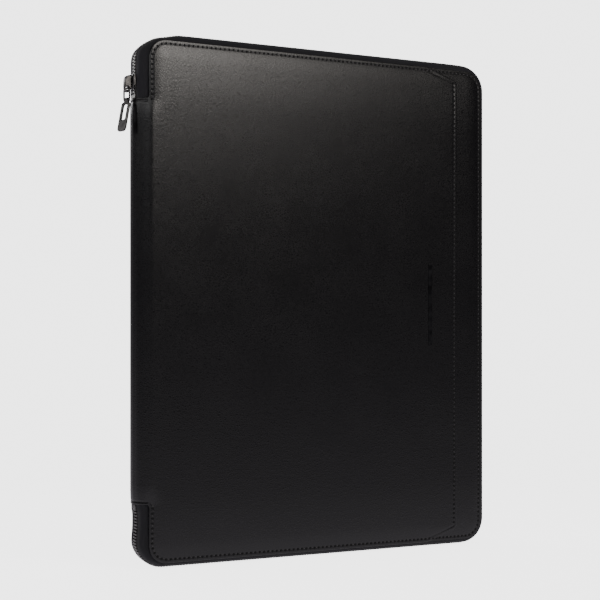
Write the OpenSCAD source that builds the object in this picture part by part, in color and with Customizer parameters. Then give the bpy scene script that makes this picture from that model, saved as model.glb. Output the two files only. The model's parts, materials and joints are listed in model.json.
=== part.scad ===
// Zip-around portfolio case for A4 paper, standing upright with its zip closed.
// Millimetres, +Z up, front cover towards -Y, spine towards -X.
// Origin: centre of the footprint, on the surface the case stands on.

/* [Covers] */
// Width of each cover, spine edge to fore-edge
cover_w = 259; // [230:1:290]
// Height of each cover
cover_h = 336; // [310:1:370]
// Thickness of the closed case
case_d = 24; // [20:0.5:40]
// Corner radius beside the spine
corner_spine = 13; // [6:1:20]
// Corner radius at the fore-edge
corner_fore = 13; // [10:1:30]
// Leather thickness
leather_t = 1; // [0.8:0.1:2]
// Padding thickness
foam_t = 0.7; // [0.4:0.1:2]
// Stiffening board thickness
board_t = 1.5; // [1:0.1:3]
// Lining thickness
lining_t = 0.6; // [0.3:0.1:1]

/* [Outer pocket] */
// Width of the front pocket panel
pocket_w = 237; // [180:1:245]
// Length along the edge of its diagonal cut ends
pocket_cut_w = 24; // [10:1:40]
// Depth of the diagonal cut ends
pocket_cut_h = 8.5; // [4:0.5:20]
// Height of the blank trim bar
trim_h = 58; // [30:1:80]
// Width of the blank trim bar
trim_w = 3.2; // [2:0.2:6]
// Distance of the trim bar from the spine edge
trim_x = 214; // [150:1:230]

/* [Spine] */
// How far the spine bulges beyond the covers
spine_bulge = 7.4; // [5:0.1:10]
// Notch above and below the spine leather
notch_h = 38; // [20:1:60]
// Spine leather thickness
spine_t = 1.1; // [0.8:0.1:2]

/* [Zip] */
// Zip overhang beyond the spine edge
zip_left = 6; // [4:0.5:8]
// Zip overhang at the top and the fore-edge
zip_out = 5; // [3:0.5:8]
// Zip overhang at the bottom
zip_down = 3.5; // [2:0.5:6]
// Corner radius of the zip
zip_r = 19; // [16:1:30]
// Share of each corner beside the spine that the spine carries, in degrees
spine_share = 45; // [30:1:60]
// Depth of the teeth across the zip
teeth_t = 2.4; // [1.5:0.1:3]
// Tape thickness
tape_t = 0.8; // [0.5:0.1:1.2]

/* [Slider and pull] */
// Height of the slider's middle
slider_z = 312.6; // [305:0.1:320]
// Slider length
slider_l = 10; // [8:0.5:14]
// Slider width
slider_w = 8.4; // [7:0.2:10]
// Wire radius of the pull link
wire_r = 0.62; // [0.5:0.01:0.8]
// Distance between the link's two bars
link_l = 7.4; // [6:0.2:12]
// Pull tab length below its pivot
tab_l = 21; // [15:0.2:30]
// Pull tab width
tab_w = 8.4; // [6:0.2:10]
// Twist of the hanging pull
pull_twist = 15; // [0:1:25]
// Outward lean of the tab
tab_lean = 12; // [0:1:15]

/* [Hidden] */
joint_gap = 0.15;
cover_x0 = -123.9;
edge_x = cover_x0 + joint_gap;
cover_x1 = cover_x0 + cover_w;
cover_z0 = zip_down;
cover_z1 = cover_z0 + cover_h;
cover_zm = (cover_z0 + cover_z1) / 2;
half_d = case_d / 2;
arc_n = 12;

// Layer faces, measured from the middle plane
skin_in = half_d - 2 * leather_t;
foam_in = skin_in - foam_t;
board_in = foam_in - board_t;
lining_in = board_in - lining_t;
pocket_t = 1;
doc_in = lining_in - pocket_t;
slot_t = 0.8;

// Zip outline
zip_x0 = cover_x0 - zip_left;
zip_x1 = cover_x1 + zip_out;
zip_z1 = cover_z1 + zip_out;
split_x = zip_x0 + zip_r;
top_arc_z = zip_z1 - zip_r;
split_gap_a = 0.9;
teeth_in = 0.95;
teeth_out = 3.2;
hem_in = 15;
stop_h = 2.6;
stop_gap = 0.3;
tuck_l = 6;
tuck_x = zip_x0 + 0.8;
tuck_out = 4.9;
leg_top = zip_x1 - 2 * zip_r - zip_x0;
leg_side = zip_z1 - 2 * zip_r;
fore_x = zip_x1 - zip_r;

// Spine section
spine_r = (half_d * half_d + spine_bulge * spine_bulge) / (2 * spine_bulge);
spine_cx = cover_x0 - spine_bulge + spine_r;
spine_x1 = cover_x0 - joint_gap;
spine_z0 = cover_z0 + notch_h;
spine_z1 = cover_z1 - notch_h;
spine_board_t = 0.9;
spine_lining_t = 0.6;
spine_inset_z = 8;

// Heights at which the zip's end runs stop, the top one measured down from the zip's top
end_bottom = spine_z0 - stop_gap;
end_top = zip_z1 - spine_z1 - stop_gap;

// Pull positions
crown_face = cover_x0 - 7.7;
bar_x = cover_x0 - 10.5;
bar_z = slider_z - 4.7;
low_bar_z = bar_z - link_l;

black = [0.07, 0.07, 0.08];
cloth = [0.16, 0.16, 0.18];
metal = [0.6, 0.6, 0.62];

// ---- Outlines ----

// Sections of the zip: distance in from its outer line, then distance from the middle plane
curl_outer = [[3.6, skin_in], [2.2, 9.2], [1.2, 7.4], [0.8, 5.4], [0.8, teeth_out]];
curl_inner = [[1.6, teeth_out], [1.6, 5.2], [1.95, 7], [2.75, 8.55], [3.8, foam_in]];
tape_section = concat([[hem_in, skin_in]], curl_outer, curl_inner, [[hem_in, foam_in]]);
corner_section = [[2.2, 9.2], [1.2, 7.4], [0.8, 5.4], [0.8, teeth_out],
  [1.6, teeth_out], [1.6, 5.2], [1.95, 7], [2.75, 8.55]];
notch_section = concat([[5.4, 9.8]], corner_section, [[5.4, 9.1]]);
teeth_section = [[0, teeth_in], [0, teeth_out], [teeth_t, teeth_out], [teeth_t, teeth_in]];

function arc_pts(cx, cy, r, a0, a1) =
  [for (i = [0 : arc_n]) let (a = a0 + (a1 - a0) * i / arc_n) [cx + r * cos(a), cy + r * sin(a)]];

function round_rect(x0, x1, y0, y1, ra, rb) = concat(
  arc_pts(x0 + ra, y0 + ra, ra, 180, 270),
  arc_pts(x1 - rb, y0 + rb, rb, 270, 360),
  arc_pts(x1 - rb, y1 - rb, rb, 0, 90),
  arc_pts(x0 + ra, y1 - ra, ra, 90, 180));

// Extrudes an outline drawn in X and Z between two Y faces
module slab(y0, y1) {
  translate([0, y1, 0])
    rotate([90, 0, 0])
      linear_extrude(y1 - y0) children();
}

module cover_outline(inset) {
  polygon(round_rect(edge_x + inset, cover_x1 - inset, cover_z0 + inset, cover_z1 - inset,
    corner_spine - inset, corner_fore - inset));
}

module panel_outline(x0, x1, z0, z1, r) {
  polygon(round_rect(x0, x1, z0, z1, r, r));
}

// Zip section, measured out from a corner's centre
module zip_section(pts) {
  polygon([for (p = pts) [zip_r - p[0], p[1]]]);
}

// Turn of the zip about a corner's centre, from an angle and through a sweep
module zip_corner(cx, cz, a, sweep, pts) {
  translate([cx, 0, cz])
    rotate([90, 0, 0])
      rotate([0, 0, a])
        rotate_extrude(angle = sweep, $fn = 128) zip_section(pts);
}

// Straight run of the zip, ending where the corner at this angle begins
module zip_leg(cx, cz, a, length, pts) {
  translate([cx, 0, cz])
    rotate([90, 0, 0])
      rotate([0, 0, a])
        rotate([90, 0, 0])
          linear_extrude(length) zip_section(pts);
}

// Run carried by a cover: bottom, fore-edge and top, with the rest of the spine-side corners
module zip_run(pts) {
  sweep = 90 - spine_share - split_gap_a;
  union() {
    zip_corner(split_x, zip_r, 270 - sweep, sweep, pts);
    zip_leg(fore_x, zip_r, 270, leg_top, pts);
    zip_corner(fore_x, zip_r, 270, 90, pts);
    zip_leg(fore_x, top_arc_z, 0, leg_side, pts);
    zip_corner(fore_x, top_arc_z, 0, 90, pts);
    translate([-leg_top, 0, 0]) zip_leg(fore_x, top_arc_z, 90, leg_top, pts);
    zip_corner(split_x, top_arc_z, 90, sweep, pts);
  }
}

// Run carried by the spine, at the bottom: part of one corner and the straight stretch to the notch
module zip_end(pts, straight_pts, end_z) {
  union() {
    zip_corner(split_x, zip_r, 180, spine_share, pts);
    zip_leg(split_x, zip_r, 180, end_z - zip_r, straight_pts);
  }
}

// The same run at the top
module at_top() {
  translate([0, 0, zip_z1]) mirror([0, 0, 1]) children();
}

// ---- Front cover ----

module front_pocket_panel() {
  cut_x = cover_x0 + pocket_w - pocket_cut_w;
  color(black) slab(-half_d, -half_d + leather_t)
    intersection() {
      cover_outline(0);
      polygon([[cover_x0, cover_z0], [cut_x, cover_z0],
        [cover_x0 + pocket_w, cover_z0 + pocket_cut_h], [cover_x0 + pocket_w, cover_z1 - pocket_cut_h],
        [cut_x, cover_z1], [cover_x0, cover_z1]]);
    }
}

module front_base_panel() {
  color(black) slab(-half_d + leather_t, -skin_in) cover_outline(0);
}

// Padding fills the field inside the sewn-in tape, and reaches the spine edge between the corners
module padding_outline() {
  inset = hem_in + 0.1;
  r = zip_r - inset;
  union() {
    polygon(round_rect(zip_x0 + inset, zip_x1 - inset, inset, zip_z1 - inset, r, r));
    translate([edge_x + 2, zip_r]) square([zip_r, top_arc_z - zip_r]);
  }
}

module front_foam() {
  color(cloth) slab(-skin_in, -foam_in) padding_outline();
}

module front_board() {
  color(cloth) slab(-foam_in, -board_in) cover_outline(1.5);
}

module front_lining() {
  color(cloth) slab(-board_in, -lining_in) cover_outline(1);
}

module document_pocket() {
  color(black) slab(-lining_in, -doc_in)
    panel_outline(cover_x0 + 18, cover_x1 - 12, cover_z0 + 12, cover_z0 + 176, 6);
}

module card_slot(level) {
  card_z = cover_z0 + 224 - level * 15;
  card_y = -lining_in + level * slot_t;
  color(black) slab(card_y, card_y + slot_t)
    panel_outline(cover_x0 + 40, cover_x0 + 142, card_z, card_z + 56, 4);
}

module card_slot_upper() {
  card_slot(0);
}

module card_slot_middle() {
  card_slot(1);
}

module card_slot_lower() {
  card_slot(2);
}

module pen_loop() {
  loop_r = 5.3;
  loop_t = 0.8;
  loop_h = 44;
  loop_x = cover_x0 + 11;
  color(black) translate([loop_x, -lining_in + loop_r, cover_zm - loop_h / 2])
    difference() {
      union() {
        cylinder(h = loop_h, r = loop_r, $fn = 64);
        translate([-loop_r, -loop_r, 0]) cube([2 * loop_r, loop_t, loop_h]);
      }
      translate([0, 0, -1]) cylinder(h = loop_h + 2, r = loop_r - loop_t, $fn = 64);
    }
}

module trim_bar() {
  trim_t = 0.4;
  color(metal) slab(-half_d - trim_t, -half_d)
    panel_outline(cover_x0 + trim_x - trim_w / 2, cover_x0 + trim_x + trim_w / 2,
      cover_zm - trim_h / 2, cover_zm + trim_h / 2, trim_w / 2 - 0.2);
}

// ---- Zip halves, drawn for the front; the rear ones are mirrored ----

module end_tape(end_z) {
  union() {
    zip_end(corner_section, notch_section, end_z);
    translate([tuck_x, -tuck_out, end_z - stop_gap])
      cube([tape_t, tuck_out - teeth_out, tuck_l]);
  }
}

module end_teeth(end_z) {
  zip_end(teeth_section, teeth_section, end_z - stop_gap - stop_h);
}

module front_zip_tape() {
  color(cloth) zip_run(tape_section);
}

module front_zip_teeth() {
  color(metal) zip_run(teeth_section);
}

module rear_zip_tape() {
  color(cloth) mirror([0, 1, 0]) zip_run(tape_section);
}

module rear_zip_teeth() {
  color(metal) mirror([0, 1, 0]) zip_run(teeth_section);
}

module front_end_tape_top() {
  color(cloth) at_top() end_tape(end_top);
}

module front_end_tape_bottom() {
  color(cloth) end_tape(end_bottom);
}

module rear_end_tape_top() {
  color(cloth) mirror([0, 1, 0]) at_top() end_tape(end_top);
}

module rear_end_tape_bottom() {
  color(cloth) mirror([0, 1, 0]) end_tape(end_bottom);
}

module front_end_teeth_top() {
  color(metal) at_top() end_teeth(end_top);
}

module front_end_teeth_bottom() {
  color(metal) end_teeth(end_bottom);
}

module rear_end_teeth_top() {
  color(metal) mirror([0, 1, 0]) at_top() end_teeth(end_top);
}

module rear_end_teeth_bottom() {
  color(metal) mirror([0, 1, 0]) end_teeth(end_bottom);
}

module zip_stop(z) {
  translate([zip_x0, -teeth_out, z]) cube([teeth_t, 2 * teeth_out, stop_h]);
}

module zip_stop_top() {
  color(metal) zip_stop(spine_z1 + stop_gap);
}

module zip_stop_bottom() {
  color(metal) zip_stop(spine_z0 - stop_gap - stop_h);
}

// ---- Rear cover ----

module rear_cover_leather() {
  color(black) slab(half_d - leather_t, half_d) cover_outline(0);
}

module rear_backing() {
  color(cloth) slab(skin_in, half_d - leather_t) cover_outline(0);
}

module rear_foam() {
  color(cloth) slab(foam_in, skin_in) padding_outline();
}

module rear_board() {
  color(cloth) slab(board_in, foam_in) cover_outline(1.5);
}

module rear_lining() {
  color(cloth) slab(lining_in, board_in) cover_outline(1);
}

module notepad_pocket() {
  color(black) slab(doc_in, lining_in)
    polygon([[cover_x0 + 22, cover_z0 + 14], [cover_x1 - 14, cover_z0 + 14],
      [cover_x1 - 14, cover_z0 + 150], [cover_x0 + 22, cover_z0 + 215]]);
}

// ---- Spine ----

// Curved layer between two radii, cut off at the hinge lines
module spine_layer(r_out, r_in, z0, z1) {
  translate([0, 0, z0])
    linear_extrude(z1 - z0)
      intersection() {
        translate([spine_cx, 0])
          difference() {
            circle(r = r_out, $fn = 128);
            circle(r = r_in, $fn = 128);
          }
        translate([cover_x0 - 20, -half_d]) square([20 - joint_gap, case_d]);
      }
}

module spine_leather() {
  color(black) spine_layer(spine_r, spine_r - spine_t, spine_z0, spine_z1);
}

module spine_board() {
  r_out = spine_r - spine_t;
  color(cloth) spine_layer(r_out, r_out - spine_board_t, spine_z0 + spine_inset_z,
    spine_z1 - spine_inset_z);
}

module spine_lining() {
  r_out = spine_r - spine_t - spine_board_t;
  color(cloth) spine_layer(r_out, r_out - spine_lining_t, spine_z0 + spine_inset_z,
    spine_z1 - spine_inset_z);
}

// ---- Slider ----

// Rounded plate facing sideways, between two X faces
module side_plate(x0, x1, w, z0, z1, r) {
  translate([x0, 0, 0])
    rotate([90, 0, 90])
      linear_extrude(x1 - x0)
        polygon(round_rect(-w / 2, w / 2, z0, z1, r, r));
}

module slider_body() {
  z0 = slider_z - slider_l / 2;
  z1 = slider_z + slider_l / 2;
  outer_x = zip_x0 - 0.25;
  inner_x = cover_x0 - 0.9;
  inner_t = 1.2;
  post_w = 1.4;
  post_l = 6;
  color(metal) union() {
    side_plate(crown_face, outer_x, slider_w, z0, z1, 2.6);
    side_plate(inner_x, inner_x + inner_t, slider_w, z0 + 1.4, z1, 2.6);
    translate([outer_x - 0.5, -post_w / 2, z1 - post_l - 0.5])
      cube([inner_x - outer_x + 1, post_w, post_l]);
  }
}

module slider_crown() {
  crown_w = 3;
  color(metal) translate([crown_face, 0, slider_z])
    slab(-crown_w / 2, crown_w / 2)
      difference() {
        polygon([[0, 4.2], [-2.2, 4], [-4.2, 2.8], [-5.1, -0.4], [-5.1, -4.6], [-4.3, -6.3],
          [-2.6, -6.8], [-1.2, -6.2], [0, -4.8]]);
        polygon([[-0.9, 2.8], [-1.9, 2.7], [-3.2, 1.8], [-4, -0.8], [-4, -4.8], [-3.5, -5.6],
          [-2.2, -5.8], [-1.3, -5.1], [-0.9, -4]]);
      }
}

// Places a shape in the frame of the hanging pull, at the height of one of its bars
module pull_frame(z) {
  translate([bar_x, 0, z]) rotate([0, 0, pull_twist]) children();
}

module wire_bar(half) {
  rotate([90, 0, 0]) cylinder(h = 2 * half, r = wire_r, center = true, $fn = 32);
}

module pull_link() {
  side_y = 2.9;
  color(metal) pull_frame(bar_z)
    union() {
      wire_bar(side_y);
      translate([0, 0, -link_l]) wire_bar(side_y);
      for (y = [-side_y, side_y]) {
        translate([0, y, -link_l]) cylinder(h = link_l, r = wire_r, $fn = 32);
        translate([0, y, 0]) sphere(r = wire_r, $fn = 32);
        translate([0, y, -link_l]) sphere(r = wire_r, $fn = 32);
      }
    }
}

module pull_tab() {
  tab_t = 1.5;
  eye_w = 4.2;
  eye_r = 1.45;
  eye_bore = wire_r + 0.08;
  shoulder_z = -1.7;
  slot_w = 4.4;
  slot_z0 = -13.4;
  slot_z1 = -3;
  color(metal) pull_frame(low_bar_z)
    rotate([0, tab_lean, 0])
      difference() {
        union() {
          rotate([90, 0, 0]) cylinder(h = eye_w, r = eye_r, center = true, $fn = 48);
          translate([-tab_t / 2, -eye_w / 2, shoulder_z - 1]) cube([tab_t, eye_w, 1 - shoulder_z]);
          side_plate(-tab_t / 2, tab_t / 2, tab_w, -tab_l, shoulder_z, 1.8);
        }
        rotate([90, 0, 0]) cylinder(h = eye_w + 2, r = eye_bore, center = true, $fn = 48);
        side_plate(-tab_t, tab_t, slot_w, slot_z0, slot_z1, 1.2);
      }
}

// ---- Assembly ----

front_pocket_panel();
front_base_panel();
front_foam();
front_board();
front_lining();
document_pocket();
card_slot_upper();
card_slot_middle();
card_slot_lower();
pen_loop();
trim_bar();
front_zip_tape();
front_zip_teeth();
rear_cover_leather();
rear_backing();
rear_foam();
rear_board();
rear_lining();
notepad_pocket();
rear_zip_tape();
rear_zip_teeth();
spine_leather();
spine_board();
spine_lining();
front_end_tape_top();
front_end_tape_bottom();
rear_end_tape_top();
rear_end_tape_bottom();
front_end_teeth_top();
front_end_teeth_bottom();
rear_end_teeth_top();
rear_end_teeth_bottom();
zip_stop_top();
zip_stop_bottom();
slider_body();
slider_crown();
pull_link();
pull_tab();
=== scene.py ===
"""Looks of the zip-around portfolio case: leather skins, stitching, zip, slider, pull and inside pockets."""
import json
import math
import random

import bpy
import numpy as np
from mathutils import Matrix, Vector
from mathutils.geometry import delaunay_2d_cdt


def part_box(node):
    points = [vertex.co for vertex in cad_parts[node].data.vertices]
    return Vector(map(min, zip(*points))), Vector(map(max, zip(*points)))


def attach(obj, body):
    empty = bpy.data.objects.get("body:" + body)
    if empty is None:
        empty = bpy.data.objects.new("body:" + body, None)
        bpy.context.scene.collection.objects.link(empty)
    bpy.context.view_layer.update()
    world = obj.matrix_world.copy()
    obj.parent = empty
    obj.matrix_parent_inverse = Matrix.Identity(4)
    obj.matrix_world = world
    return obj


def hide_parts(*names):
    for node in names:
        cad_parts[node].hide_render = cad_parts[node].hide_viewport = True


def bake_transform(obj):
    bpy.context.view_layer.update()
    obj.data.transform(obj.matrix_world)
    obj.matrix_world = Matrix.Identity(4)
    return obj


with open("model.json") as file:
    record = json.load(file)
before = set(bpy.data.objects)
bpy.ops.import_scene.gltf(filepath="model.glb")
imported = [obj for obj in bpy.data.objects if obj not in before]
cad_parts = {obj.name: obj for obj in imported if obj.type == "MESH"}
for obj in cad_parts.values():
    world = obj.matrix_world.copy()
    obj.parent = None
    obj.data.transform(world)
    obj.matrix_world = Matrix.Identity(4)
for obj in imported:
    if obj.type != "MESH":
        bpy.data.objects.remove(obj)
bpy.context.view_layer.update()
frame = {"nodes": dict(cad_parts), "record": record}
random.seed(7)

MM = 0.001

# ---------------------------------------------------------------- places, in mm, worked out from the frame


def mm_box(node):
    low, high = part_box(node)
    return low / MM, high / MM


base_lo, base_hi = mm_box("front_base_panel")
pocket_lo, pocket_hi = mm_box("front_pocket_panel")
lining_hi = mm_box("front_lining")[1]
foam_hi = mm_box("front_foam")[1]
spine_lo, spine_hi = mm_box("spine_leather")
teeth_lo, teeth_hi = mm_box("front_zip_teeth")
end_lo = mm_box("front_end_teeth_top")[0]
trim_lo, trim_hi = mm_box("trim_bar")

HINGE_GAP = 0.15
X0 = base_lo.x - HINGE_GAP
X1 = base_hi.x
Z0, Z1 = base_lo.z, base_hi.z
ZM = (Z0 + Z1) / 2
HALF_D = -pocket_lo.y
SPINE_Z0, SPINE_Z1 = spine_lo.z, spine_hi.z
BULGE = X0 - spine_lo.x
LINING_Y = -lining_hi.y
BOARD_Y = -foam_hi.y
POCKET_X = pocket_hi.x
ZIP_X0, ZIP_X1 = end_lo.x, teeth_hi.x
ZIP_Z0, ZIP_Z1 = teeth_lo.z, teeth_hi.z
TEETH_OUT = -teeth_lo.y

R_SPINE_SIDE = 13
R_FORE = 13
ZIP_R = 19
CUT_W = 24
CUT_H = 8.5
STITCH_IN = 2.6
STITCH_PITCH = 3.2
TOOTH_PITCH = 2.0
TOOTH_DEPTH = 2.4
EDGE_DROP = 0.6
EDGE_REACH = 10
END_DROP = 0.9
END_REACH = 42
PANEL_T = 0.9

# ---------------------------------------------------------------- mesh helpers


def mesh_object(name, points, faces, material, attribute=None):
    """Smooth object from points in mm, with an optional vector for each point that the materials read."""
    mesh = bpy.data.meshes.new(name)
    mesh.from_pydata((np.asarray(points, float) * MM).tolist(), [], [list(f) for f in faces])
    mesh.update()
    if attribute is not None:
        layer = mesh.attributes.new("cloth_mm", "FLOAT_VECTOR", "POINT")
        layer.data.foreach_set("vector", np.asarray(attribute, np.float32).ravel())
    mesh.shade_smooth()
    obj = bpy.data.objects.new(name, mesh)
    bpy.context.scene.collection.objects.link(obj)
    mesh.materials.append(material)
    return obj


def sharpen(obj, degrees=35):
    """Keeps edges sharper than an angle crisp under smooth shading."""
    obj.data.set_sharp_from_angle(angle=math.radians(degrees))
    return obj


def arc(cx, cy, r, a0, a1, n):
    """Points round a circle between two angles in degrees."""
    t = np.radians(np.linspace(a0, a1, n))
    return np.stack([cx + r * np.cos(t), cy + r * np.sin(t)], 1)


def rounded_polygon(corners, radii, n=8):
    """Closed outline through straight sides whose corners are rounded to their radii."""
    corners = np.asarray(corners, float)
    count = len(corners)
    radii = radii if hasattr(radii, "__len__") else [radii] * count
    out = []
    for i in range(count):
        p, a, b = corners[i], corners[i - 1] - corners[i], corners[(i + 1) % count] - corners[i]
        a, b = a / np.linalg.norm(a), b / np.linalg.norm(b)
        r = radii[i]
        half = math.acos(np.clip(a @ b, -1, 1)) / 2
        if r <= 0:
            out.append(p)
            continue
        reach = r / math.tan(half)
        mid = (a + b) / np.linalg.norm(a + b)
        centre = p + mid * r / math.sin(half)
        start, end = p + a * reach - centre, p + b * reach - centre
        a0 = math.atan2(start[1], start[0])
        turn = (math.atan2(end[1], end[0]) - a0 + math.pi) % (2 * math.pi) - math.pi
        for k in range(n + 1):
            t = a0 + turn * k / n
            out.append(centre + r * np.array([math.cos(t), math.sin(t)]))
    return np.array(out)


def resample(outline, step, fine_below=-1e9):
    """Closed outline with no side longer than step, or than 1 mm below an x; its own points stay."""
    out = []
    for p, q in zip(outline, np.roll(outline, -1, 0)):
        longest = 1.0 if max(p[0], q[0]) < fine_below else step
        n = max(1, math.ceil(np.linalg.norm(q - p) / longest))
        out += [p + (q - p) * k / n for k in range(n)]
    return np.array(out)


def edge_distance(points, outline):
    """Distance of each point from a closed outline, positive inside."""
    p, a = np.asarray(points, float), np.asarray(outline, float)
    b = np.roll(a, -1, 0)
    best = np.full(len(p), 1e9)
    inside = np.zeros(len(p), bool)
    for q, r in zip(a, b):
        e = r - q
        t = np.clip((p - q) @ e / max(e @ e, 1e-12), 0, 1)
        best = np.minimum(best, np.linalg.norm(p - q - t[:, None] * e, axis=1))
        crosses = (q[1] > p[:, 1]) != (r[1] > p[:, 1])
        x = q[0] + (p[:, 1] - q[1]) * e[0] / (e[1] if e[1] else 1e-12)
        inside ^= crosses & (p[:, 0] < x)
    return np.where(inside, best, -best)


def smooth_step(t):
    """0 up to t = 0, 1 from t = 1, with an eased rise between."""
    t = np.clip(t, 0, 1)
    return t * t * (3 - 2 * t)


def roll_levels(roll, rings=()):
    """Distances in from a panel's edge at which it gets rings of points."""
    return sorted({roll * k for k in (0.12, 0.35, 0.65, 1.0)} | set(rings))


OUT_OF_REACH = 60
FOLD_COLUMNS = 0.7
FOLD_ROWS = 6


def panel(name, outline, surface, thick, material, roll, step, rings=(), seam=None, fold=None):
    """Closed leather or cloth panel with rolled edges.

    outline is in the panel's flat coordinates, anticlockwise. surface(points, distance, height) places
    points at a height above the panel's middle layer. The edge at x = seam stays square. Columns of points
    lie close together from the seam to x = fold, where the panel bends.
    """
    outline = resample(outline, 2.5, -1e9 if fold is None else fold)
    count = len(outline)
    ahead, behind = np.roll(outline, -1, 0), np.roll(outline, 1, 0)
    tangent = ahead - behind
    tangent /= np.linalg.norm(tangent, axis=1)[:, None]
    inward = np.stack([-tangent[:, 1], tangent[:, 0]], 1)
    # distances are taken from the free edges: the seam's points are moved out of reach for them
    free = outline.copy()
    on_seam = np.zeros(count, bool)
    if seam is not None:
        on_seam = outline[:, 0] < seam + 0.02
        free[on_seam, 0] -= OUT_OF_REACH
    levels = roll_levels(roll, rings)
    points = [outline]
    for d in levels:
        ring = (outline + inward * d)[~on_seam]
        ok = (edge_distance(ring, free) > d * 0.93) & (edge_distance(ring, outline) > 0.04)
        points.append(ring[ok])
    low, high = outline.min(0), outline.max(0)
    left = low[0] + step / 2
    if fold is not None:
        columns = np.arange(low[0] + FOLD_COLUMNS, fold, FOLD_COLUMNS)
        left = fold + step / 2
        rows = np.arange(low[1] + FOLD_ROWS / 2, high[1], FOLD_ROWS)
        points.append(np.array([[x, y] for x in columns for y in rows]))
    xs = np.arange(left, high[0], step)
    ys = np.arange(low[1] + step / 2, high[1], step)
    points.append(np.array([[x, y] for x in xs for y in ys]).reshape(-1, 2))
    for k in range(len(levels) + 1, len(points)):
        points[k] = points[k][edge_distance(points[k], free) > levels[-1] + 0.5]
        points[k] = points[k][edge_distance(points[k], outline) > 0.3]
    flat = np.concatenate(points)
    loop = [(i, (i + 1) % count) for i in range(count)]
    verts, _, faces, _, _, _ = delaunay_2d_cdt([Vector(p) for p in flat], loop, [], 1, 1e-5)
    verts = np.array([tuple(v) for v in verts])
    distance = np.abs(edge_distance(verts, free))
    on_edge = np.abs(edge_distance(verts, outline)) < 1e-3
    square = on_edge & (distance > 1e-3)
    share = 1 - np.clip(distance / roll, 0, 1)
    height = thick / 2 * np.sqrt(1 - share**2)
    top = surface(verts, distance, height)
    bottom = surface(verts, distance, -height)
    shared = on_edge & ~square
    under = np.arange(len(verts)) + len(verts)
    under[shared] = np.flatnonzero(shared)
    packed = np.concatenate([top, bottom])
    quads = [list(f) for f in faces] + [[int(under[i]) for i in reversed(f)] for f in faces]
    edges = {(i, j) for f in faces for i, j in zip(f, list(f[1:]) + [f[0]])}
    for i, j in sorted(edges):
        if (j, i) not in edges and (square[i] or square[j]):
            wall = list(dict.fromkeys([j, i, int(under[i]), int(under[j])]))
            if len(wall) > 2:
                quads.append(wall)
    used = sorted({i for f in quads for i in f})
    index = {v: k for k, v in enumerate(used)}
    grain = np.concatenate([np.column_stack([verts, np.zeros(len(verts))])] * 2)
    faces = [[index[i] for i in f] for f in quads]
    return mesh_object(name, packed[used], faces, material, attribute=grain[used])


def tube_faces(start, rings, size, inward=False):
    """Faces over rings of points numbered one after another, with a flat cap at each end."""
    faces = []
    for ring in range(rings - 1):
        a, b = start + ring * size, start + (ring + 1) * size
        for k in range(size):
            m = (k + 1) % size
            faces.append([a + k, b + k, b + m, a + m] if inward else [a + k, a + m, b + m, b + k])
    first = list(range(start, start + size))
    last = [i + (rings - 1) * size for i in first]
    return faces + ([first, last[::-1]] if inward else [first[::-1], last])


def swept(name, rings, closed, material, attribute=None):
    """Skin over a list of closed rings of points; a closed sweep joins its last ring to its first."""
    rings = np.asarray(rings, float)
    steps, size = rings.shape[:2]
    faces = tube_faces(0, steps, size)
    if closed:
        last = (steps - 1) * size
        faces[-2:] = [[last + k, last + (k + 1) % size, (k + 1) % size, k] for k in range(size)]
    return mesh_object(name, rings.reshape(-1, 3), faces, material, attribute=attribute)


def plate(name, outline, holes, thick, bevel, material, place):
    """Flat metal plate with rounded edges, cut from an outline and holes in mm, then placed by a matrix."""
    curve = bpy.data.curves.new(name, "CURVE")
    curve.dimensions = "2D"
    curve.fill_mode = "BOTH"
    curve.extrude = (thick / 2 - bevel) * MM
    curve.bevel_depth = bevel * MM
    curve.bevel_resolution = 3
    curve.offset = -bevel * MM
    for loop in [outline, *holes]:
        spline = curve.splines.new("POLY")
        spline.points.add(len(loop) - 1)
        for point, (x, y) in zip(spline.points, loop):
            point.co = (x * MM, y * MM, 0, 1)
        spline.use_cyclic_u = True
    made = bpy.data.objects.new(name + "_curve", curve)
    bpy.context.scene.collection.objects.link(made)
    bpy.context.view_layer.update()
    mesh = bpy.data.meshes.new_from_object(made.evaluated_get(bpy.context.evaluated_depsgraph_get()))
    mesh.name = name
    bpy.data.objects.remove(made)
    mesh.transform(place)
    mesh.materials.clear()
    mesh.materials.append(material)
    mesh.shade_smooth()
    obj = bpy.data.objects.new(name, mesh)
    bpy.context.scene.collection.objects.link(obj)
    return sharpen(obj)


def join(name, objects):
    """Joins objects into the first one and renames it."""
    with bpy.context.temp_override(
        active_object=objects[0],
        object=objects[0],
        selected_objects=objects,
        selected_editable_objects=objects,
    ):
        bpy.ops.object.join()
    objects[0].name = name
    objects[0].data.name = name
    return objects[0]


def fit(obj, body, slot, *nodes):
    """Puts a piece on its body, when it is given one, and hides the CAD nodes that it stands for; slot is not
    used.
    """
    if body:
        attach(obj, body)
    if nodes:
        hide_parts(*nodes)


# ---------------------------------------------------------------- materials


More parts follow.
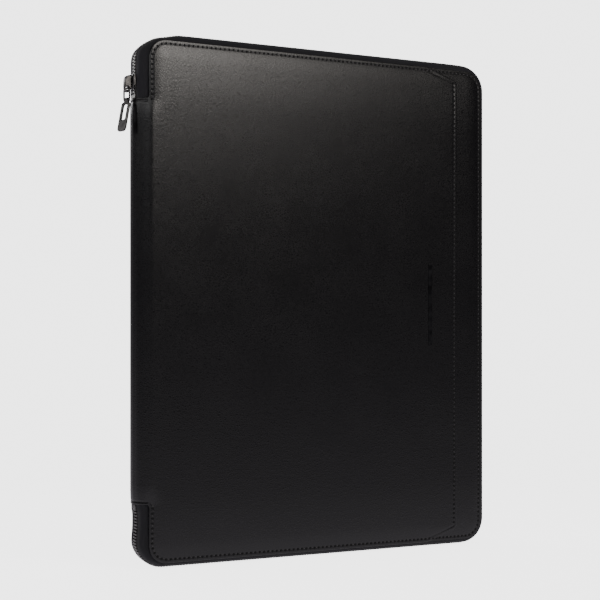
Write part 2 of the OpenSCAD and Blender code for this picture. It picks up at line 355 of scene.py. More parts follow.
class Nodes:
    """Small helper that lays out a node tree."""

    def __init__(self, tree):
        self.tree = tree

    def node(self, kind, settings=None, **inputs):
        node = self.tree.nodes.new(kind)
        for key, value in (settings or {}).items():
            setattr(node, key, value)
        for key, value in inputs.items():
            self.put(node, key.replace("_", " "), value)
        return node

    def put(self, node, key, value):
        socket = node.inputs[int(key)] if key.isdigit() else node.inputs[key]
        if isinstance(value, bpy.types.NodeSocket):
            self.tree.links.new(value, socket)
        else:
            socket.default_value = value

    def coords(self, kind):
        return self.node("ShaderNodeTexCoord").outputs[kind]

    def scaled(self, vector, x, y=None, z=None):
        y, z = y or x, z or x
        node = self.node("ShaderNodeVectorMath", {"operation": "MULTIPLY"}, **{"0": vector, "1": (x, y, z)})
        return node.outputs[0]

    def noise(self, vector, scale, detail=3.0, rough=0.5):
        node = self.node("ShaderNodeTexNoise", Vector=vector, Scale=scale, Detail=detail, Roughness=rough)
        return node.outputs["Fac"]

    def cells(self, vector, scale):
        """Distance from the creases between irregular cells."""
        node = self.node("ShaderNodeTexVoronoi", {"feature": "DISTANCE_TO_EDGE"}, Vector=vector, Scale=scale)
        return node.outputs["Distance"]

    def maths(self, operation, *values):
        node = self.node("ShaderNodeMath", {"operation": operation})
        for i, value in enumerate(values):
            self.put(node, str(i), value)
        return node.outputs[0]

    def weighted(self, *pairs):
        """Sum of values, each times its weight."""
        total = None
        for value, weight in pairs:
            part = self.maths("MULTIPLY", value, weight)
            total = part if total is None else self.maths("ADD", total, part)
        return total

    def remap(self, value, low, high, to_low, to_high, kind="LINEAR"):
        node = self.node("ShaderNodeMapRange", {"interpolation_type": kind}, Value=value, From_Min=low,
                         From_Max=high, To_Min=to_low, To_Max=to_high)
        return node.outputs["Result"]

    def choose(self, where, yes, no):
        """One number where a switch is 1, another where it is 0."""
        node = self.node("ShaderNodeMix", {"data_type": "FLOAT"}, **{"0": where, "2": no, "3": yes})
        return node.outputs[0]

    def mix_colour(self, share, first, second):
        colours = {"6": (*first, 1), "7": (*second, 1)}
        return self.node("ShaderNodeMix", {"data_type": "RGBA"}, **{"0": share}, **colours).outputs[2]

    def bump(self, height, depth_mm, strength=1.0, below=None):
        node = self.node("ShaderNodeBump", Height=height, Strength=strength, Distance=depth_mm * MM)
        if below is not None:
            self.put(node, "Normal", below)
        return node.outputs["Normal"]


class Shader(Nodes):
    """One procedural material."""

    def __init__(self, name):
        self.material = bpy.data.materials.new(name)
        self.material.use_nodes = True
        super().__init__(self.material.node_tree)
        self.bsdf = self.tree.nodes["Principled BSDF"]

    def cloth_mm(self):
        """Flat coordinates in mm, kept on the points, so that the grain bends with the piece."""
        return self.node("ShaderNodeAttribute", {"attribute_name": "cloth_mm"}).outputs["Vector"]

    def place_mm(self):
        return self.scaled(self.coords("Object"), 1 / MM)

    def finish(self, **inputs):
        for key, value in inputs.items():
            self.put(self.bsdf, key.replace("_", " "), value)
        return self.material


def leather(name, dark, light, rough, cell_mm, depth, wrinkle):
    """Black smooth-grained leather: tiny domed cells with creases between, fine wrinkles and a soft polish."""
    s = Shader(name)
    flat = s.cloth_mm()
    drift = s.node("ShaderNodeTexNoise", Vector=flat, Scale=0.5, Detail=2.0).outputs["Color"]
    bent = s.node(
        "ShaderNodeVectorMath", {"operation": "MULTIPLY_ADD"}, **{"0": drift, "1": (1.3, 1.3, 0), "2": flat}
    ).outputs[0]
    stretched = s.scaled(bent, 0.8, 1.15, 1.0)
    pebble = s.remap(s.cells(stretched, 1 / cell_mm), 0.0, 0.42, 0.0, 1.0)
    wide = s.remap(s.cells(stretched, 0.36 / cell_mm), 0.0, 0.09, 0.0, 1.0)
    pores = s.remap(s.noise(flat, 2.6, 3.0), 0.35, 0.6, 0.0, 1.0)
    grain = s.weighted((pebble, 0.9), (wide, 0.12), (pores, 0.25))
    fold = s.noise(s.scaled(flat, 0.16, 0.42, 0.3), 1.0, 5.0, 0.55)
    sway = s.noise(s.scaled(flat, 0.018), 1.0, 2.0)
    normal = s.bump(sway, 0.12)
    normal = s.bump(fold, wrinkle, below=normal)
    normal = s.bump(grain, depth, below=normal)
    tone = s.maths("MULTIPLY", s.noise(flat, 0.045, 3.0), pebble)
    colour = s.mix_colour(s.remap(tone, 0.2, 0.8, 0.0, 1.0), dark, light)
    gloss = s.maths("ADD", s.remap(s.noise(flat, 0.03, 4.0), 0.3, 0.7, rough - 0.015, rough + 0.015),
                    s.remap(pebble, 0.0, 1.0, 0.15, 0.0))
    return s.finish(Base_Color=colour, Roughness=gloss, Normal=normal, Specular_IOR_Level=0.5)


def twill(name, dark, light, pitch_mm, depth_mm):
    """Fine woven cloth: slanted ribs crossed by threads, with a little fuzz."""
    slant = 0.785
    s = Shader(name)
    flat = s.cloth_mm()
    turned = s.node("ShaderNodeVectorRotate", {"rotation_type": "Z_AXIS"}, Vector=flat, Angle=slant).outputs[0]
    rib = s.node("ShaderNodeTexWave", {"bands_direction": "X", "wave_profile": "SIN"}, Vector=turned,
                 Scale=math.tau / 20 / pitch_mm, Distortion=0.4).outputs["Fac"]
    thread = s.node("ShaderNodeTexWave", {"bands_direction": "Y", "wave_profile": "SIN"}, Vector=turned,
                    Scale=math.tau / 20 / (pitch_mm * 0.7), Distortion=0.3).outputs["Fac"]
    weave = s.weighted((rib, 0.7), (thread, 0.3))
    fuzz = s.noise(flat, 2.5, 4.0)
    height = s.maths("ADD", weave, s.maths("MULTIPLY", fuzz, 0.4))
    colour = s.mix_colour(s.maths("MULTIPLY", weave, fuzz), dark, light)
    return s.finish(Base_Color=colour, Roughness=s.remap(fuzz, 0.3, 0.7, 0.77, 0.93),
                    Normal=s.bump(height, depth_mm), Sheen_Weight=0.25, Sheen_Roughness=0.5)


def herringbone(name, dark, light):
    """Zip tape: V-shaped weave in narrow lanes across the tape."""
    s = Shader(name)
    flat = s.cloth_mm()
    parts = s.node("ShaderNodeSeparateXYZ", Vector=flat)
    lane = s.maths("PINGPONG", s.maths("MULTIPLY", parts.outputs["Y"], 0.7), 1.0)
    slant = s.maths("ADD", parts.outputs["X"], s.maths("MULTIPLY", lane, 0.9))
    rib = s.maths("SINE", s.maths("MULTIPLY", slant, math.tau / 0.75))
    cross = s.maths("SINE", s.maths("MULTIPLY", parts.outputs["Y"], math.tau / 0.45))
    height = s.weighted((rib, 0.5), (cross, 0.3))
    fuzz = s.noise(flat, 2.2, 4.0)
    colour = s.mix_colour(s.maths("MULTIPLY", s.remap(height, -0.8, 0.8, 0.0, 1.0), fuzz), dark, light)
    return s.finish(Base_Color=colour, Roughness=s.remap(fuzz, 0.3, 0.7, 0.68, 0.84),
                    Normal=s.bump(height, 0.12), Sheen_Weight=0.06, Sheen_Roughness=0.4)


def metal(name, dark, light, rough, scratch=1.0):
    """Plated gunmetal: polished, with hairline scratches and a tone that varies in soft clouds."""
    s = Shader(name)
    place = s.place_mm()
    cloud = s.noise(place, 0.35, 4.0)
    lines = s.noise(s.scaled(place, 9.0, 9.0, 0.7), 1.0, 3.0, 0.7)
    colour = s.mix_colour(s.remap(cloud, 0.3, 0.7, 0.0, 1.0), dark, light)
    gloss = s.maths("ADD", s.remap(cloud, 0.3, 0.7, rough, rough + 0.1),
                    s.maths("MULTIPLY", s.remap(lines, 0.55, 0.75, 0.0, 0.12), scratch))
    normal = s.bump(lines, 0.01 * scratch, 0.6)
    return s.finish(Base_Color=colour, Metallic=1.0, Roughness=gloss, Normal=normal)


def thread(name, dark, light):
    """Waxed sewing thread with its twist."""
    s = Shader(name)
    place = s.place_mm()
    twist = s.node("ShaderNodeTexWave", {"bands_direction": "DIAGONAL"}, Vector=place, Scale=1.6,
                   Distortion=0.5).outputs["Fac"]
    colour = s.mix_colour(s.maths("MULTIPLY", twist, s.noise(place, 0.5)), dark, light)
    gloss = s.remap(twist, 0.0, 1.0, 0.5, 0.62)
    return s.finish(Base_Color=colour, Roughness=gloss, Normal=s.bump(twist, 0.05))


def paperboard(name, dark, light):
    """Dull fibre, for the stiffening board, and near-black for the painted shade inside needle holes."""
    s = Shader(name)
    place = s.place_mm()
    fibre = s.noise(place, 0.8, 6.0, 0.65)
    colour = s.mix_colour(s.remap(fibre, 0.3, 0.7, 0.0, 1.0), dark, light)
    gloss = s.remap(fibre, 0.3, 0.7, 0.85, 0.95)
    return s.finish(Base_Color=colour, Roughness=gloss, Normal=s.bump(fibre, 0.1))


cover_leather = leather("cover_leather", (0.0026, 0.0024, 0.0028), (0.0056, 0.0052, 0.0058), rough=0.14,
                        cell_mm=1.3, depth=0.022, wrinkle=0.03)
pocket_leather = leather("pocket_leather", (0.009, 0.009, 0.01), (0.018, 0.018, 0.02), rough=0.48,
                         cell_mm=0.7, depth=0.03, wrinkle=0.03)
lining_cloth = twill("lining_cloth", (0.012, 0.012, 0.014), (0.045, 0.045, 0.05), pitch_mm=0.42, depth_mm=0.09)
tape_cloth = herringbone("tape_cloth", (0.003, 0.003, 0.005), (0.012, 0.012, 0.017))
teeth_metal = metal("teeth_metal", (0.035, 0.034, 0.033), (0.13, 0.127, 0.124), rough=0.2, scratch=0.5)
pull_metal = metal("pull_metal", (0.045, 0.043, 0.042), (0.115, 0.112, 0.109), rough=0.15)
trim_metal = metal("trim_metal", (0.012, 0.012, 0.013), (0.03, 0.03, 0.032), rough=0.3)
black_thread = thread("black_thread", (0.04, 0.038, 0.038), (0.11, 0.107, 0.108))
# needle holes are raised lenses coloured near-black: painted shade, not a cut hole
painted_hole_shade = paperboard("painted_hole_shade", (0.0004, 0.0004, 0.0004), (0.001, 0.001, 0.001))
foam_core = paperboard("foam_core", (0.03, 0.03, 0.032), (0.06, 0.06, 0.064))
board_card = paperboard("board_card", (0.05, 0.048, 0.045), (0.12, 0.115, 0.11))

# ---------------------------------------------------------------- the bent skin: spine arc and flat covers

SPINE_R = (HALF_D**2 + BULGE**2) / (2 * BULGE)
SPINE_CX = X0 - BULGE + SPINE_R
SPINE_HALF = SPINE_R * math.asin(HALF_D / SPINE_R)
SEAM_T = -SPINE_HALF
FOLD_SOFTEN = 3.4
COVER_W = X1 - X0


def fold_line(t):
    """Point of the outer skin's section at arc length t from the fold, before the fold is softened."""
    turn = (np.minimum(t, 0) + SPINE_HALF) / SPINE_R
    x = SPINE_CX - SPINE_R * np.cos(turn) + np.maximum(t, 0)
    y = -SPINE_R * np.sin(turn)
    return np.stack([x, y], -1)


def skin_section(t):
    """Softened section point and outward normal at arc length t; negative t is on the spine."""
    t = np.asarray(t, float)
    shifts = np.linspace(-FOLD_SOFTEN, FOLD_SOFTEN, 9)
    at = np.mean([fold_line(t + s) for s in shifts], axis=0)
    past = fold_line(t)
    near_seam = (t < SEAM_T + FOLD_SOFTEN)[:, None]
    at = np.where(near_seam, past, at)
    step = 0.2
    along = np.mean([fold_line(t + s + step) - fold_line(t + s - step) for s in shifts], axis=0)
    exact = fold_line(t + step) - fold_line(t - step)
    turn = (np.minimum(t, 0) + SPINE_HALF) / SPINE_R
    exact = np.where((t < 0)[:, None], np.stack([np.sin(turn), -np.cos(turn)], -1), exact)
    along = np.where(near_seam, exact, along)
    along /= np.linalg.norm(along, axis=1)[:, None]
    return at, np.stack([along[:, 1], -along[:, 0]], -1)


NOTCH_FILLET = 1.6
SKIN_EDGE = rounded_polygon(
    [[-60, SPINE_Z0], [0, SPINE_Z0], [0, Z0], [COVER_W, Z0],
     [COVER_W, Z1], [0, Z1], [0, SPINE_Z1], [-60, SPINE_Z1]],
    [0, NOTCH_FILLET, R_SPINE_SIDE, R_FORE, R_FORE, R_SPINE_SIDE, NOTCH_FILLET, 0],
    10,
)
COVER_EDGE = rounded_polygon(
    [[0, Z0], [COVER_W, Z0], [COVER_W, Z1], [0, Z1]], [R_SPINE_SIDE, R_FORE, R_FORE, R_SPINE_SIDE], 12
)
CUT_T = POCKET_X - X0 - CUT_W
POCKET_T = POCKET_X - X0


def margin_drop(flat):
    """How far the padded surface falls away towards the case's edges."""
    t, z = flat[:, 0], flat[:, 1]
    from_end = np.minimum(z - Z0, Z1 - z)
    drop = EDGE_DROP * (1 - smooth_step(edge_distance(flat, SKIN_EDGE) / EDGE_REACH))
    drop = drop + END_DROP * (1 - np.clip(from_end / END_REACH, 0, 1)) ** 2
    return np.where(t < 0, drop * (1 - 0.6 * smooth_step(-t / 4)), drop)


def groove(d, middle, depth, width=0.55):
    """Depth of a soft furrow whose middle lies at a distance from the edge."""
    return depth * np.exp(-(((d - middle) / width) ** 2))


SUNK = 0.14


def skin_surface(thick, below=0.0, rear=False):
    """Placing function for a panel of the outer skin, on the front or mirrored to the rear."""

    def place(flat, distance, height):
        t, z = flat[:, 0], flat[:, 1]
        at, normal = skin_section(t)
        d = edge_distance(flat, SKIN_EDGE)
        ends = np.minimum(SPINE_Z1 - z, z - SPINE_Z0)
        lines = np.where(t < -1, groove(ends, 2.1, 0.2, 0.5), 0)
        seams = groove(distance, STITCH_IN, SUNK) + groove(d, STITCH_IN, SUNK) * (distance > d + 1)
        lines = np.where(t > 1, seams, lines)
        out = height - thick / 2 - below - margin_drop(flat) - lines
        xy = at + normal * out[:, None]
        y = -xy[:, 1] if rear else xy[:, 1]
        return np.column_stack([xy[:, 0], y, z])

    return place


def flip(obj):
    """Turns a mirrored piece's faces outwards."""
    obj.data.flip_normals()


def straight_seam(obj):
    """Turns the normals along the spine's middle line straight out, so that the two half skins read as one."""
    mesh = obj.data
    normals = np.array([v.normal for v in mesh.vertices])
    at = np.array([v.co for v in mesh.vertices])
    seam = np.abs(at[:, 1]) < 1e-6
    normals[seam, 1] = 0
    normals[seam] /= np.linalg.norm(normals[seam], axis=1)[:, None]
    mesh.normals_split_custom_set_from_vertices(normals.tolist())


SKIN_RINGS = (1.3, 1.8, 2.2, 2.6, 3.0, 3.5, 4.4, 6.0, 8.5)
SKIN_BLEND = {"start": (X0 - 3.0, -HALF_D + 0.6, ZM), "end": (X0 + 1.6, -HALF_D, ZM)}
TAPE_BLEND = {"start": (X0 - 5.0, -4.0, ZM), "end": (X0 + 0.3, -9.5, ZM)}


def blend(obj, cover, line):
    """Bakes a piece's placement into its points and works out its line between the spine and a cover, the line
    given for the front and mirrored for the rear; nothing bends the piece here.
    """
    sign = -1 if cover == "rear_cover" else 1
    start, end = ((p[0] * MM, sign * p[1] * MM, p[2] * MM) for p in (line["start"], line["end"]))
    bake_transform(obj)
    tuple(start)
    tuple(end)


SKIN_STEP = 5.0
FOLD_T = 4.0


def seam_side(roll):
    """Points down the seam along the spine's middle, closer together at its ends."""
    levels = roll_levels(roll, SKIN_RINGS)
    return [[SEAM_T, SPINE_Z1 - d] for d in levels] + [[SEAM_T, SPINE_Z0 + d] for d in reversed(levels)]


def skin(name, cover, roll, thick, fore, fore_radii):
    """Leather from the spine's middle line round to a cover; fore lists the corners away from the spine."""
    rear = cover == "rear_cover"
    seam = seam_side(roll)
    outline = rounded_polygon(
        [[SEAM_T, SPINE_Z0], [0, SPINE_Z0], [0, Z0], *fore, [0, Z1], [0, SPINE_Z1], [SEAM_T, SPINE_Z1], *seam],
        [0, NOTCH_FILLET, R_SPINE_SIDE, *fore_radii, R_SPINE_SIDE, NOTCH_FILLET, 0] + [0] * len(seam), 10)
    obj = panel(name, outline, skin_surface(thick, rear=rear), thick, cover_leather, roll=roll, step=SKIN_STEP,
                rings=SKIN_RINGS, seam=SEAM_T, fold=FOLD_T)
    if rear:
        flip(obj)
    straight_seam(obj)
    blend(obj, cover, SKIN_BLEND)
    return obj


def front_skin():
    """Front half of the skin: half the spine and the outer pocket with its diagonal cut ends."""
    fore = [[CUT_T, Z0], [POCKET_T, Z0 + CUT_H], [POCKET_T, Z1 - CUT_H], [CUT_T, Z1]]
    obj = skin("front_skin", "front_cover", 0.45, PANEL_T, fore, [3, 4, 4, 3])
    fit(obj, None, "leather", "front_pocket_panel", "spine_leather")


def front_base():
    """Leather under the outer pocket, seen as the strip along the fore edge."""
    obj = panel("front_base", COVER_EDGE, skin_surface(PANEL_T, PANEL_T), PANEL_T, cover_leather, roll=0.45,
                step=12, rings=SKIN_RINGS)
    fit(obj, "front_cover", "leather", "front_base_panel")


def rear_skin():
    """Rear half of the skin, two layers thick."""
    obj = skin("rear_skin", "rear_cover", 0.8, 2 * PANEL_T, [[COVER_W, Z0], [COVER_W, Z1]], [R_FORE, R_FORE])
    fit(obj, None, "leather", "rear_cover_leather", "rear_backing")


# ---------------------------------------------------------------- stitching


def along_line(line, run, s):
    """Value at a distance s along a line whose points lie at the distances run."""
    return np.array([np.interp(s, run, line[:, a]) for a in range(3)])


STITCH_SHARE = 0.5
STITCH_SIDES = 6
STITCH_RINGS = 7
HOLE_SIDES = 8
HOLE_RINGS = ((0.17, 0.7), (0.1, 1.0), (-0.2, 0.8))


def stitch_run(name, points, out, body, radius=0.32, hole=0.78):
    """Row of stitches: short thread humps between needle holes, which are near-black lenses of painted shade.

    points is the open line in the case's frame, in mm, and out the surface's outward direction there.
    """
    points, out = np.asarray(points, float), np.asarray(out, float)
    steps = np.linalg.norm(np.diff(points, axis=0), axis=1)
    run = np.concatenate([[0], np.cumsum(steps)])
    count = int(run[-1] / STITCH_PITCH)
    pitch = run[-1] / count
    verts, faces, dark = [], [], []
    for i in range(count):
        at = (i + 0.5) * pitch
        jitter = random.uniform(-0.05, 0.05)
        slant = random.uniform(0.10, 0.2)
        start = len(verts)
        for k in range(STITCH_RINGS):
            share = k / (STITCH_RINGS - 1)
            s = at + (share - 0.5) * pitch * STITCH_SHARE + jitter
            normal = along_line(out, run, s)
            normal /= np.linalg.norm(normal)
            tangent = along_line(points, run, s + 0.3) - along_line(points, run, s - 0.3)
            tangent /= max(np.linalg.norm(tangent), 1e-9)
            across = np.cross(tangent, normal)
            hump = math.sin(math.pi * share)
            size = radius * (0.55 + 0.45 * math.sqrt(hump))
            middle = along_line(points, run, s) + normal * (radius * 1.2 * hump - radius * 0.8)
            middle = middle + across * slant * (share - 0.5)
            for j in range(STITCH_SIDES):
                a = math.tau * j / STITCH_SIDES
                verts.append(middle + size * (math.cos(a) * across + 0.85 * math.sin(a) * normal))
        faces += tube_faces(start, STITCH_RINGS, STITCH_SIDES, inward=True)
        dark += [0] * (len(faces) - len(dark))
        # the hole between this stitch and the next: a low lens across the groove, closed underneath, coloured
        # near-black as painted shade for the hole's depth
        start, s = len(verts), at + pitch / 2
        centre = along_line(points, run, s)
        for level, scale in HOLE_RINGS:
            for j in range(HOLE_SIDES):
                a = math.tau * j / HOLE_SIDES
                flat = across * math.sin(a) * hole * 1.5 + tangent * math.cos(a) * hole
                verts.append(centre + normal * level + flat * scale)
        faces += tube_faces(start, len(HOLE_RINGS), HOLE_SIDES, inward=True)
        dark += [1] * (len(faces) - len(dark))
    obj = mesh_object(name, verts, faces, black_thread)
    # faces marked 1 take the second material, the painted shade of the needle holes
    obj.data.materials.append(painted_hole_shade)
    obj.data.polygons.foreach_set("material_index", dark)
    fit(obj, body, "leather")


def inset_line(outline, d):
    """Outline moved inwards by d, as a closed loop."""
    outline = resample(outline, 2.0)
    tangent = np.roll(outline, -1, 0) - np.roll(outline, 1, 0)
    tangent /= np.linalg.norm(tangent, axis=1)[:, None]
    return outline + np.stack([-tangent[:, 1], tangent[:, 0]], 1) * d


def in_pocket(flat):
    """True where the front's outer surface is the pocket panel."""
    t, z = flat[:, 0], flat[:, 1]
    reach = np.minimum(z - Z0, Z1 - z)
    return (t < POCKET_T) & (reach > (t - CUT_T) * CUT_H / CUT_W)


def on_skin(flat, rear=False):
    """Points and outward directions on the outer surface of a cover, for stitching."""
    flat = np.asarray(flat, float)
    at, normal = skin_section(flat[:, 0])
    below = margin_drop(flat) + SUNK
    if not rear:
        below = below + np.where(in_pocket(flat), 0, PANEL_T)
    xy = at - normal * below[:, None]
    sign = -1 if rear else 1
    points = np.column_stack([xy[:, 0], sign * xy[:, 1], flat[:, 1]])
    return points, np.column_stack([normal[:, 0], sign * normal[:, 1], np.zeros(len(flat))])


def edge_stitches(name, body, rear=False):
    """Stitches round a cover's three free edges and its two notches, but not across the spine."""
    loop = inset_line(COVER_EDGE, STITCH_IN)
    in_notch = (loop[:, 0] > STITCH_IN + 1) | (loop[:, 1] < SPINE_Z0 + 2) | (loop[:, 1] > SPINE_Z1 - 2)
    start = int(np.flatnonzero(~in_notch)[-1]) + 1
    loop, in_notch = np.roll(loop, -start, 0), np.roll(in_notch, -start)
    loop = loop[in_notch]
    far = int(np.argmax(np.linalg.norm(np.diff(loop, axis=0), axis=1)))
    if np.linalg.norm(loop[far + 1] - loop[far]) > 10:
        loop = np.concatenate([loop[far + 1:], loop[:far + 1]])
    points, out = on_skin(loop, rear)
    stitch_run(name, points, out, body)


def pocket_stitches():
    """Stitches down the outer pocket's fore edge."""
    t = POCKET_T - STITCH_IN
    z = np.linspace(Z0 + CUT_H + 1.2, Z1 - CUT_H - 1.2, 200)
    points, out = on_skin(np.column_stack([np.full(len(z), t), z]))
    stitch_run("pocket_stitches", points, out, "front_cover")


# ---------------------------------------------------------------- zip: path, tape, teeth and stops

TOP_ARC_Z = ZIP_Z1 - ZIP_R
SPLIT_X = ZIP_X0 + ZIP_R
FORE_X = ZIP_X1 - ZIP_R
QUARTER = math.pi * ZIP_R / 2
NOTCH_TUCK = 2.5


def zip_legs(tuck):
    """The zip's outer line as legs: a length, and the point and outward normal at a distance along it."""

    def straight(start, direction, normal):
        return lambda s: (np.add(start, np.multiply(direction, s)), np.array(normal, float))

    def turn(centre, a0):
        def at(s):
            a = a0 - s / ZIP_R
            n = np.array([math.cos(a), math.sin(a)])
            return np.add(centre, n * ZIP_R), n

        return at

    side = TOP_ARC_Z - (ZIP_Z0 + ZIP_R)
    top = FORE_X - SPLIT_X
    low_z = ZIP_Z0 + ZIP_R
    first = TOP_ARC_Z - SPINE_Z1 + tuck
    last = SPINE_Z0 + tuck - low_z
    return [
        (first, straight([ZIP_X0, SPINE_Z1 - tuck], [0, 1], [-1, 0])),
        (QUARTER, turn([SPLIT_X, TOP_ARC_Z], math.pi)),
        (top, straight([SPLIT_X, ZIP_Z1], [1, 0], [0, 1])),
        (QUARTER, turn([FORE_X, TOP_ARC_Z], math.pi / 2)),
        (side, straight([ZIP_X1, TOP_ARC_Z], [0, -1], [1, 0])),
        (QUARTER, turn([FORE_X, low_z], 0)),
        (top, straight([FORE_X, ZIP_Z0], [-1, 0], [0, -1])),
        (QUARTER, turn([SPLIT_X, low_z], -math.pi / 2)),
        (last, straight([ZIP_X0, low_z], [0, 1], [-1, 0])),
    ]


def zip_at(s, legs):
    """Point and outward normal at a distance along the zip."""
    for length, at in legs[:-1]:
        if s <= length:
            return at(s)
        s -= length
    return legs[-1][1](s)


TOP_SAG = 2.3
TOP_PROUD = 0.35
NOTCH_SUNK = 1.1


def corner_sag(top_run, bottom_run):
    """How far the zip lies inside its drawn line, by the distances along it from its two ends."""
    slack = smooth_step((top_run - 28) / 16) * (1 - smooth_step((top_run - 50) / 16))
    proud = smooth_step((top_run - 56) / 16) * (1 - smooth_step((top_run - 270) / 30))
    tucked = smooth_step(bottom_run / 8) * (1 - smooth_step((bottom_run - 12) / 18))
    return TOP_SAG * slack - TOP_PROUD * proud + NOTCH_SUNK * tucked


def zip_line(spacing, tuck=0.0, start=0.0, stop=0.0):
    """Points and outward normals at even steps along the zip."""
    legs = zip_legs(tuck)
    total = sum(length for length, _ in legs) - stop
    count = int((total - start) / spacing)
    along = start + np.arange(count + 1) * (total - start) / count
    both = [zip_at(s, legs) for s in along]
    points, normals = np.array([p for p, _ in both]), np.array([n for _, n in both])
    sag = corner_sag(along - tuck, total + stop - tuck - along)
    return along, points - normals * sag[:, None], normals


def cover_reach(points, normals):
    """Distance from the zip's outer line in to the cover's edge, along each normal."""
    low, high = np.zeros(len(points)), np.full(len(points), 9.0)
    for _ in range(24):
        mid = (low + high) / 2
        at = points - normals * mid[:, None]
        inside = edge_distance(np.column_stack([at[:, 0] - X0, at[:, 1]]), COVER_EDGE) > 0
        high, low = np.where(inside, mid, high), np.where(inside, low, mid)
    return (low + high) / 2


TAPE_T = 0.55
TAPE_HEM_Y = 9.0
ARCH_Y = 4.2
TAPE_U = 1.15
LOOSE_RUN = 25
FULLNESS_BY_SPINE = 0.72
FULLNESS = 1.12
CHAIN_U = 1.25


def zip_tape(side):
    """Woven tape from under a cover's edge, arching out to the teeth, with the bead that the teeth grip."""
    along, points, normals = zip_line(2.0, tuck=NOTCH_TUCK)
    reach = cover_reach(points, normals)
    # the ends tuck under the spine leather, a little deeper than the open stretch
    from_end = np.minimum(along, along[-1] - along)
    dip = 0.5 * (1 - smooth_step((from_end - NOTCH_TUCK) / 4))
    # beside the spine the tape is looser and bulges; round the rest it lies flatter
    flatter = smooth_step((from_end - LOOSE_RUN) / LOOSE_RUN)
    fullness = FULLNESS_BY_SPINE + (FULLNESS - FULLNESS_BY_SPINE) * flatter
    arch = np.linspace(0, math.pi / 2, 9)
    bead_y = TEETH_OUT - 0.9
    rings, flats = [], []
    for s, p, n, edge, down, full in zip(along, points, normals, reach, dip, fullness):
        outer = [(edge + 4.5, TAPE_HEM_Y), (edge + 1.5, TAPE_HEM_Y)]
        for a in arch:
            rise, fall = math.sin(a) ** full, math.cos(a) ** full
            u = edge + 0.2 - (edge + 0.2 - TAPE_U) * rise + down * math.sin(2 * a)
            outer.append((u, ARCH_Y + (TAPE_HEM_Y - ARCH_Y) * fall))
        outer.append((CHAIN_U, TEETH_OUT - 0.4))
        outer.append((CHAIN_U - 0.35, bead_y))
        outer = np.array(outer)
        shift = np.gradient(outer, axis=0)
        shift /= np.linalg.norm(shift, axis=1)[:, None]
        inner = outer + np.stack([-shift[:, 1], shift[:, 0]], 1) * -TAPE_T
        inner[-1] = (CHAIN_U + TAPE_T + 0.35, bead_y)
        section = np.concatenate([outer, inner[::-1]])
        across = np.concatenate([[0], np.cumsum(np.linalg.norm(np.diff(section, axis=0), axis=1))])
        rings.append([[p[0] - n[0] * u, side * y, p[1] - n[1] * u] for u, y in section])
        flats.append([[s, w, 0] for w in across])
    name = "front_zip" if side < 0 else "rear_zip"
    obj = swept(name + "_cloth", rings, False, tape_cloth, attribute=np.array(flats).reshape(-1, 3))
    if side < 0:
        flip(obj)
    cover = "front_cover" if side < 0 else "rear_cover"
    blend(obj, cover, TAPE_BLEND)
    ends = "front" if side < 0 else "rear"
    fit(obj, None, "zip_tape", ends + "_zip_tape", ends + "_end_tape_top", ends + "_end_tape_bottom")


TOOTH_OUTLINE = [(3.2, -0.62), (3.2, 0.62), (1.7, 0.74), (0.75, 0.5), (0.1, 0.52), (-0.42, 0.36),
                 (-0.5, 0.0), (-0.42, -0.36), (0.1, -0.52), (0.75, -0.5), (1.7, -0.74)]
TOOTH_LEVELS = [(0.0, 0.72), (0.14, 0.93), (0.4, 1.0), (2.0, 1.0), (2.26, 0.93), (2.4, 0.75)]


REAR_ROW_LOWER = 0.35
STOP_SPACE = 3.6


def teeth_row(side):
    """Separate cast teeth; the rear row sits half a pitch on, so that the heads mesh, and a little lower."""
    offset = 0 if side < 0 else TOOTH_PITCH / 2
    _, points, normals = zip_line(TOOTH_PITCH, start=STOP_SPACE + offset, stop=STOP_SPACE)
    if side > 0:
        points = points - normals * REAR_ROW_LOWER
    outline = np.array(TOOTH_OUTLINE)
    middle = np.array([1.4, 0])
    verts, faces = [], []
    for p, n in zip(points, normals):
        along = np.array([n[1], -n[0]])
        start = len(verts)
        for depth, scale in TOOTH_LEVELS:
            head = 1 - 0.12 * (outline[:, 0] < 1.0)
            ring = middle + (outline - middle) * scale
            for (y, a), h in zip(ring, head):
                u = TOOTH_DEPTH / 2 + (depth - TOOTH_DEPTH / 2) * h
                at = p - n * u + along * a
                verts.append((at[0], side * y, at[1]))
        faces += tube_faces(start, len(TOOTH_LEVELS), len(outline))
    name = "front_zip" if side < 0 else "rear_zip"
    obj = mesh_object(name + "_teeth_cast", verts, faces, teeth_metal)
    if side < 0:
        flip(obj)
    sharpen(obj, 40)
    cover = "front_cover" if side < 0 else "rear_cover"
    blend(obj, cover, TAPE_BLEND)
    ends = "front" if side < 0 else "rear"
    fit(obj, None, "zip_metal", ends + "_zip_teeth", ends + "_end_teeth_top", ends + "_end_teeth_bottom")


def placed(origin, x_axis, y_axis, z_axis):
    """Matrix that takes a shape drawn in mm about its own origin into the case's frame."""
    m = Matrix.Identity(4)
    for column, axis in enumerate((x_axis, y_axis, z_axis)):
        for row in range(3):
            m[row][column] = axis[row]
    for row in range(3):
        m[row][3] = origin[row] * MM
    return m


def zip_stop(node):
    """Bent staple across both tapes at the end of the teeth."""
    low, high = mm_box(node)
    at = (low + high) / 2
    half = (high.z - low.z) / 2
    outline = rounded_polygon([[-3.1, -half], [3.1, -half], [3.1, half], [-3.1, half]], 0.8, 4)
    obj = plate(node + "_staple", outline, [], high.x - low.x, 0.3, teeth_metal,
                placed(at, (0, 1, 0), (0, 0, 1), (1, 0, 0)))
    fit(obj, "spine", "zip_metal", node)


# ---------------------------------------------------------------- slider, crown, link and tab

